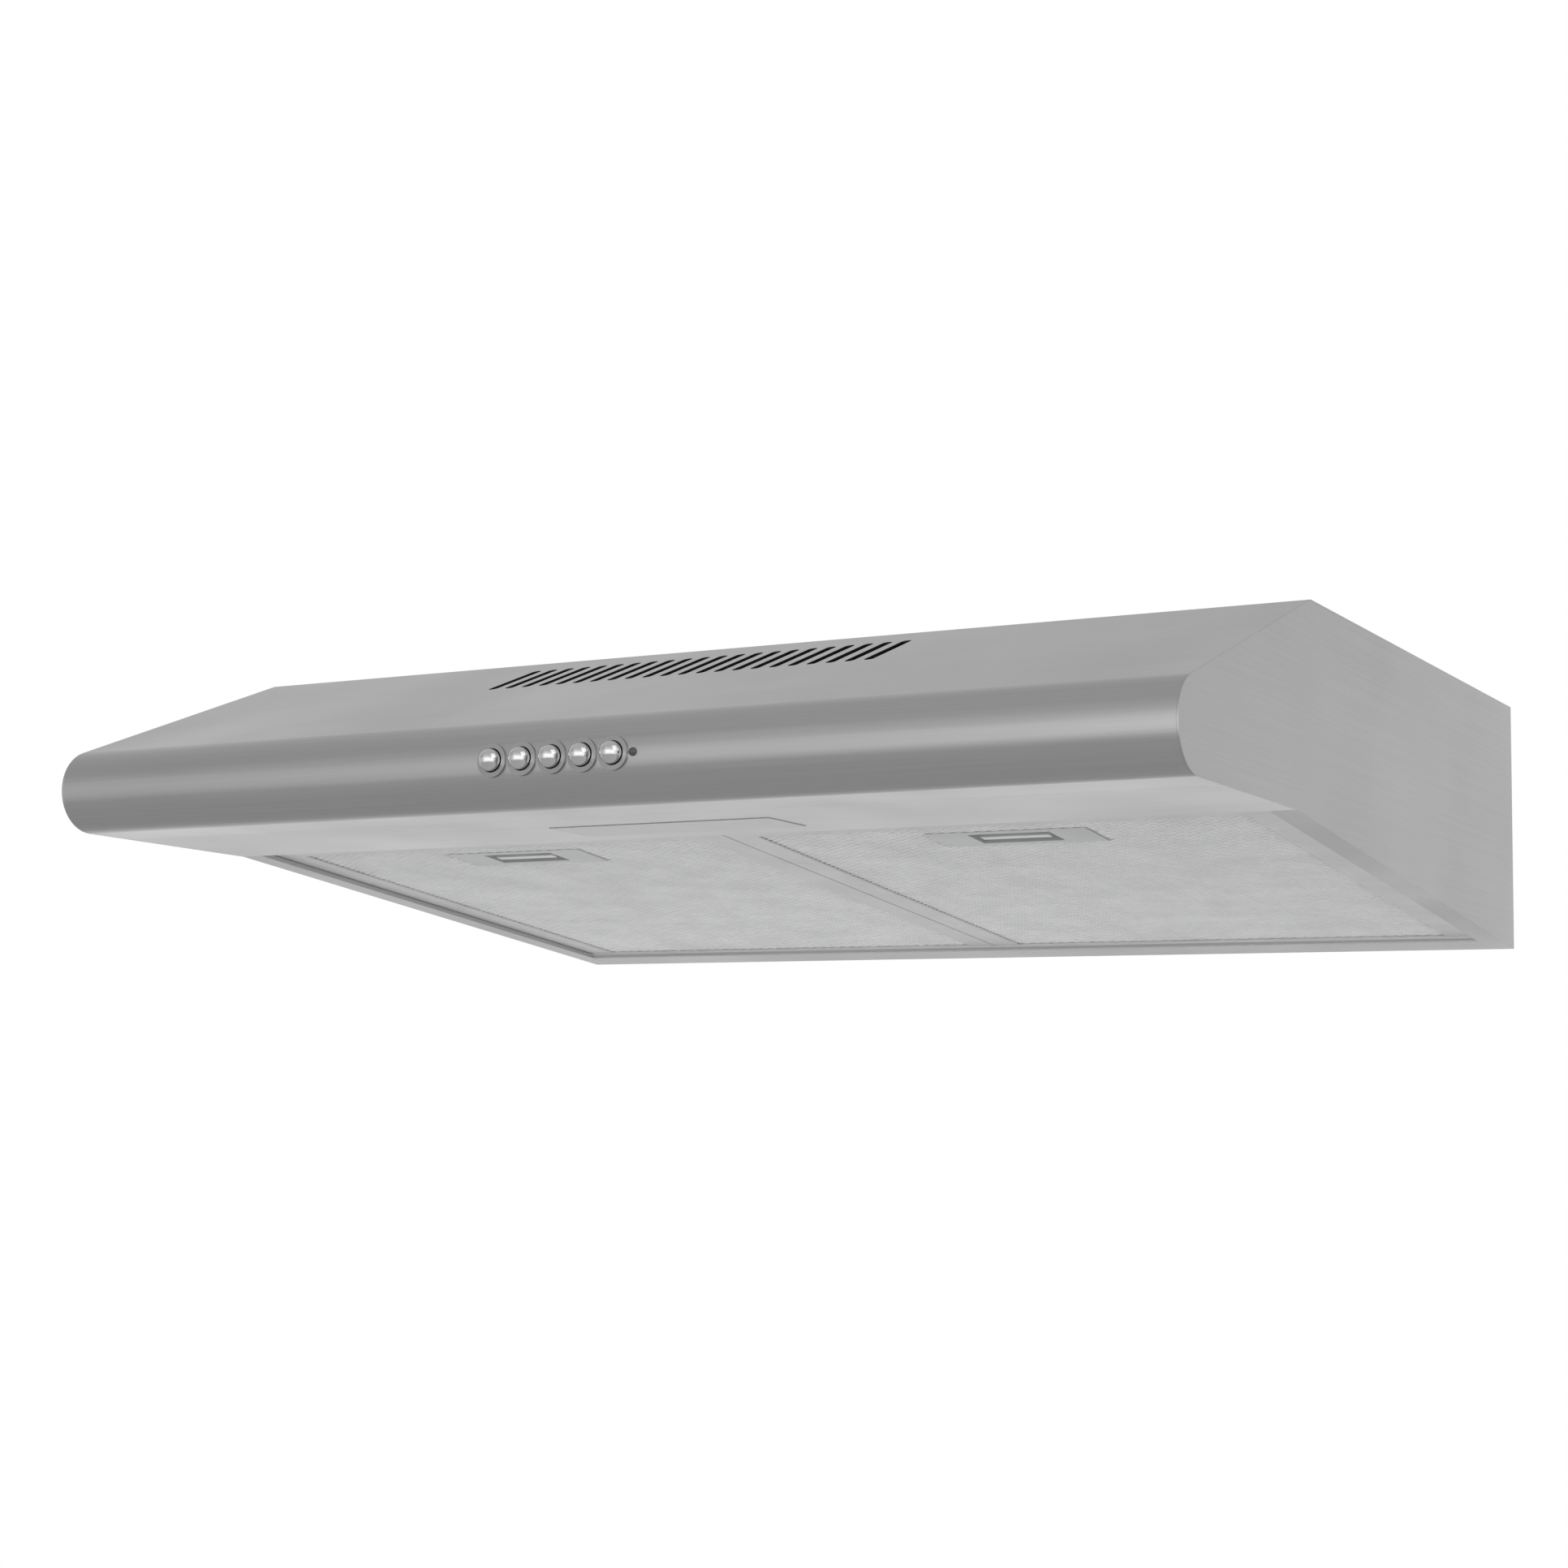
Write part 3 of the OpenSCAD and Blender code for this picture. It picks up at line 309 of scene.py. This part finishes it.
for node, slot in SLOTS.items():
    data = NODES[node].data
    data.materials.clear()
    data.materials.append(SIDE_STEEL if node.startswith("side_panel") else MATERIALS[slot])


# ---- Dark walls inside the vent slots: raw edge and painted shade ----

SLOPE_ANGLE = math.radians(21.45)
VENT_HALF_WIDTH = 0.12
VENT_FRONT_Y = -0.235
VENT_BACK_Y = -0.170
# A slot's wall stands square to the slope: the largest cosine between its normal and the slope's
WALL_COSINE = 0.3


def paint_shade_on_slot_walls():
    """Gives the vent slots' walls in the fascia the near black sheared edge material, which paints
    shade inside the slots.
    """
    data = NODES["front_fascia"].data
    data.materials.append(SHEARED_EDGE_AND_SHADE)
    slope = Vector((0.0, -math.sin(SLOPE_ANGLE), math.cos(SLOPE_ANGLE)))
    for face in data.polygons:
        is_wall = abs(face.normal.dot(slope)) < WALL_COSINE
        inside_ends = abs(face.center.x) < VENT_HALF_WIDTH
        in_rows = VENT_FRONT_Y < face.center.y < VENT_BACK_Y
        if is_wall and inside_ends and in_rows:
            face.material_index = 1


paint_shade_on_slot_walls()


# ---- Soft edges on the CAD shapes ----

# Millimetres, for single nodes and for those with a left and a right one
EDGE_RADIUS = {
    "front_fascia": 0.25,
    "lamp_panel": 0.2,
    "top_panel": 0.2,
    "rear_rail": 0.25,
    "light_lens": 0.4,
    "duct_collar": 0.3,
    "junction_box": 0.5,
    "junction_box_cover": 0.4,
    "diverter_lever": 0.5,
    "switch_body": 0.4,
}
PAIR_EDGE_RADIUS = {
    "side_panel": 0.45,
    "filter_frame": 0.25,
    "latch_plate": 0.3,
    "latch_slider": 0.25,
}
WELD_DISTANCE = 0.002 * MM
SHARPEST_SMOOTH_ANGLE = math.radians(35.0)


def soften(node, radius):
    """Rounds a node's sharp edges."""
    obj = NODES[node]
    weld = obj.modifiers.new("weld", "WELD")
    weld.merge_threshold = WELD_DISTANCE
    bevel = obj.modifiers.new("edges", "BEVEL")
    bevel.width = radius * MM
    bevel.segments = 3
    bevel.limit_method = "ANGLE"
    bevel.angle_limit = SHARPEST_SMOOTH_ANGLE
    bevel.use_clamp_overlap = True
    normals = obj.modifiers.new("normals", "WEIGHTED_NORMAL")
    normals.keep_sharp = True


for name, radius in EDGE_RADIUS.items():
    soften(name, radius)
for name, radius in PAIR_EDGE_RADIUS.items():
    for side in SIDES:
        soften(f"{name}_{side}", radius)


# ---- Coil springs ----


def squashing_springs(joint):
    """Copies of a joint's springs, attached to the joint's parent body in place of the hidden
    springs.
    """
    for entry in joint["deforming_nodes"]:
        node = entry["node"]
        data = NODES[node].data.copy()
        coil = bpy.data.objects.new(node.replace("spring", "coil"), data)
        bpy.context.scene.collection.objects.link(coil)
        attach(coil, joint["parent"])
        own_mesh(coil)
        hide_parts(node)


for joint in JOINTS.values():
    if "deforming_nodes" in joint:
        squashing_springs(joint)


# ---- Grease filter mesh ----


def filter_frame_matrix(side):
    """The filter's own frame: origin on its hinge line, y along the filter to the wall."""
    pivot = Vector(JOINTS[f"filter_{side}_swing"]["pos_m"])
    along = Vector(JOINTS[f"latch_{side}_slide"]["axis"])
    tilt = math.atan2(along.z, along.y)
    return Matrix.Translation(pivot) @ Matrix.Rotation(tilt, 4, "X")


def local_box(node, matrix):
    """A node's lowest and highest corners in the frame that the matrix places."""
    inverse = matrix.inverted()
    points = [inverse @ v.co for v in NODES[node].data.vertices]
    low = Vector([min(p[i] for p in points) for i in range(3)])
    high = Vector([max(p[i] for p in points) for i in range(3)])
    return low, high


def add_box(verts, faces, low, high):
    """Appends a closed box to a vertex and face list."""
    start = len(verts)
    for z in (low[2], high[2]):
        verts += [
            (low[0], low[1], z),
            (high[0], low[1], z),
            (high[0], high[1], z),
            (low[0], high[1], z),
        ]
    quads = [(3, 2, 1, 0), (4, 5, 6, 7), (0, 1, 5, 4), (1, 2, 6, 5), (2, 3, 7, 6), (3, 0, 4, 7)]
    faces += [tuple(start + i for i in quad) for quad in quads]


def add_strand(verts, faces, points, width, z0, z1):
    """Appends a flat zigzag strand of expanded metal through a list of points."""
    start = len(verts)
    for x, y in points:
        verts += [(x, y - width, z0), (x, y + width, z0), (x, y + width, z1), (x, y - width, z1)]
    for i in range(len(points) - 1):
        a = start + 4 * i
        b = a + 4
        for k in range(4):
            n = (k + 1) % 4
            faces.append((a + k, a + n, b + n, b + k))
    last = start + 4 * (len(points) - 1)
    faces.append((start + 3, start + 2, start + 1, start))
    faces.append((last, last + 1, last + 2, last + 3))


def mesh_object(name, verts, faces, material, matrix=None):
    data = bpy.data.meshes.new(name)
    data.from_pydata([tuple(v) for v in verts], [], faces)
    data.update()
    obj = bpy.data.objects.new(name, data)
    bpy.context.scene.collection.objects.link(obj)
    if matrix is not None:
        data.transform(matrix)
    data.materials.append(material)
    return obj


HALF_CELL_X = 3.2 * MM
HALF_CELL_Y = 1.15 * MM
STRAND_HALF = 0.34 * MM
STRAND_RECESS = 0.1 * MM
STRAND_THICK = 0.5 * MM
LAYER_GAP = 0.25 * MM


def strand_runs(xs, y, flip, hole_low, hole_high):
    """A row's zigzag as lists of points, broken where the latch plate's hole is."""
    runs = [[]]
    for i, x in enumerate(xs):
        if hole_low.x < x < hole_high.x and hole_low.y < y < hole_high.y:
            runs.append([])
        else:
            wave = flip * (1 if i % 2 else -1) * (HALF_CELL_Y - STRAND_HALF)
            runs[-1].append((x, y + wave))
    return [run for run in runs if len(run) > 1]


def expanded_mesh(side):
    """Diamond mesh made of mirrored zigzag strands, in front of its packed back layers."""
    matrix = filter_frame_matrix(side)
    low, high = local_box(f"filter_mesh_{side}", matrix)
    hole_low, hole_high = local_box(f"latch_plate_{side}", matrix)
    centre = (low.x + high.x) / 2
    front = low.z + STRAND_RECESS
    back = front + STRAND_THICK
    columns = int((high.x - low.x) / HALF_CELL_X)
    rows = int((high.y - low.y) / (2 * HALF_CELL_Y))
    xs = [centre + (i - columns / 2) * HALF_CELL_X for i in range(columns + 1)]
    verts = []
    faces = []
    for row in range(rows):
        y = low.y + (2 * row + 1) * HALF_CELL_Y
        flip = 1 if row % 2 else -1
        for run in strand_runs(xs, y, flip, hole_low, hole_high):
            add_strand(verts, faces, run, STRAND_HALF, front, back)
    strands = mesh_object(
        f"mesh_strands_{side}", verts, faces, MATERIALS["mesh_aluminium"], matrix
    )
    verts = []
    faces = []
    layer = back + LAYER_GAP
    add_box(verts, faces, (low.x, low.y, layer), (high.x, hole_low.y, high.z))
    add_box(verts, faces, (low.x, hole_high.y, layer), (high.x, high.y, high.z))
    add_box(verts, faces, (low.x, hole_low.y, layer), (hole_low.x, hole_high.y, high.z))
    add_box(verts, faces, (hole_high.x, hole_low.y, layer), (high.x, hole_high.y, high.z))
    layers = mesh_object(f"mesh_layers_{side}", verts, faces, BACK_LAYERS_PAINTED_SHADE, matrix)
    for piece in (strands, layers):
        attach(piece, f"filter_{side}")
        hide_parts(f"filter_mesh_{side}")


for side in SIDES:
    expanded_mesh(side)


# ---- Floor, light and camera ----

FLOOR_Z = -0.95
FLOOR_RADIUS = 2.2
FLOOR_SIDES = 64
FLOOR_GREY = 0.68
# The studio is dimmer on the left and on the right at the back. Each side has the direction of
# its middle, the cosine at its edge, and the factors at the edge and in the middle.
DIM_SIDES = (
    ((-0.9, -0.44, 0.0), 0.55, 1.15, 0.5),
    ((0.8, 0.6, 0.0), 0.4, 1.0, 0.47),
)
# Sine of the elevation, and the studio's brightness there
SKY = ((-1.0, 0.40), (-0.5, 0.48), (-0.12, 1.0), (0.12, 1.0), (0.5, 0.56), (0.75, 0.39), (1.0, 0.38))
# The reference view: place in metres, turns in degrees, focal length and sensor in millimetres
CAMERA_AT = (0.7001, -1.3162, -0.2451)
CAMERA_YAW = 30.20
CAMERA_RISE = 7.47
CAMERA_ROLL = 1.19
CAMERA_LENS = 62.6
CAMERA_SENSOR = 36.0


def make_floor():
    """A pale disc below the hood."""
    rim = []
    for i in range(FLOOR_SIDES):
        angle = 2 * math.pi * i / FLOOR_SIDES
        rim.append((FLOOR_RADIUS * math.cos(angle), FLOOR_RADIUS * math.sin(angle), FLOOR_Z))
    s = Shader("pale_floor", grey(FLOOR_GREY), roughness=0.9)
    s.tint(s.noise(3.0), grey(FLOOR_GREY - 0.02), grey(FLOOR_GREY + 0.02))
    mesh_object("floor", rim, [tuple(range(FLOOR_SIDES))], s.mat)


def dimmed(tree, direction, middle, edge, most, least):
    """A factor that falls from most at edge, a cosine, to least at the middle of a dim side."""
    facing = tree.nodes.new("ShaderNodeVectorMath")
    facing.operation = "DOT_PRODUCT"
    facing.inputs[1].default_value = middle
    fade = tree.nodes.new("ShaderNodeMapRange")
    fade.interpolation_type = "SMOOTHSTEP"
    fade.inputs["From Min"].default_value = edge
    fade.inputs["To Min"].default_value = most
    fade.inputs["To Max"].default_value = least
    tree.links.new(direction, facing.inputs[0])
    tree.links.new(facing.outputs["Value"], fade.inputs["Value"])
    return fade.outputs["Result"]


def sky_color(tree, direction):
    """The studio's brightness by the height of a direction."""
    split = tree.nodes.new("ShaderNodeSeparateXYZ")
    height = tree.nodes.new("ShaderNodeMapRange")
    height.inputs["From Min"].default_value = -1.0
    ramp = tree.nodes.new("ShaderNodeValToRGB")
    ramp.color_ramp.interpolation = "EASE"
    elements = ramp.color_ramp.elements
    while len(elements) < len(SKY):
        elements.new(0.5)
    for element, (sine, value) in zip(elements, SKY):
        element.position = (sine + 1) / 2
        element.color = (*grey(value), 1.0)
    tree.links.new(direction, split.inputs[0])
    tree.links.new(split.outputs["Z"], height.inputs["Value"])
    tree.links.new(height.outputs["Result"], ramp.inputs["Fac"])
    return ramp.outputs["Color"]


def side_strength(tree, direction):
    """The product of the dim sides' factors."""
    strength = tree.nodes.new("ShaderNodeMath")
    strength.operation = "MULTIPLY"
    for socket, side in zip(strength.inputs, DIM_SIDES):
        tree.links.new(dimmed(tree, direction, *side), socket)
    return strength.outputs["Value"]


def make_world():
    """A white backdrop, with a soft studio that is brightest round the horizon."""
    world = bpy.data.worlds.new("studio")
    bpy.context.scene.world = world
    world.use_nodes = True
    tree = world.node_tree
    tree.nodes.clear()
    direction = tree.nodes.new("ShaderNodeTexCoord").outputs["Generated"]
    studio = tree.nodes.new("ShaderNodeBackground")
    backdrop = tree.nodes.new("ShaderNodeBackground")
    backdrop.inputs["Color"].default_value = (*grey(1.0), 1.0)
    path = tree.nodes.new("ShaderNodeLightPath")
    mix = tree.nodes.new("ShaderNodeMixShader")
    out = tree.nodes.new("ShaderNodeOutputWorld")
    tree.links.new(sky_color(tree, direction), studio.inputs["Color"])
    tree.links.new(side_strength(tree, direction), studio.inputs["Strength"])
    tree.links.new(path.outputs["Is Camera Ray"], mix.inputs[0])
    tree.links.new(studio.outputs[0], mix.inputs[1])
    tree.links.new(backdrop.outputs[0], mix.inputs[2])
    tree.links.new(mix.outputs[0], out.inputs["Surface"])


def soft_light(name, at, target, size, watts, mirrored=True):
    """A rectangular area light; one that isn't mirrored shows in no reflection."""
    data = bpy.data.lights.new(name, "AREA")
    data.shape = "RECTANGLE"
    data.size, data.size_y = size
    data.energy = watts
    obj = bpy.data.objects.new(name, data)
    obj.location = at
    obj.rotation_euler = (Vector(target) - Vector(at)).to_track_quat("-Z", "Y").to_euler()
    obj.visible_glossy = mirrored
    bpy.context.scene.collection.objects.link(obj)


def make_camera():
    """Below and to the right of the front, at the reference viewing angle."""
    data = bpy.data.cameras.new("camera")
    data.sensor_width = CAMERA_SENSOR
    data.lens = CAMERA_LENS
    obj = bpy.data.objects.new("camera", data)
    obj.location = CAMERA_AT
    yaw = Matrix.Rotation(math.radians(CAMERA_YAW), 4, "Z")
    pitch = Matrix.Rotation(math.radians(90.0 + CAMERA_RISE), 4, "X")
    roll = Matrix.Rotation(math.radians(CAMERA_ROLL), 4, "Z")
    obj.rotation_euler = (yaw @ pitch @ roll).to_euler()
    bpy.context.scene.collection.objects.link(obj)
    bpy.context.scene.camera = obj


make_floor()
make_world()
soft_light("key", (2.4, -0.6, 1.8), (0.1, -0.1, -0.05), (2.4, 2.4), 10.0)
soft_light("under", (-0.1, 0.15, -0.92), (-0.1, 0.15, 0.0), (1.0, 0.6), 3.9, mirrored=False)
make_camera()
bpy.context.scene.view_settings.view_transform = "Standard"
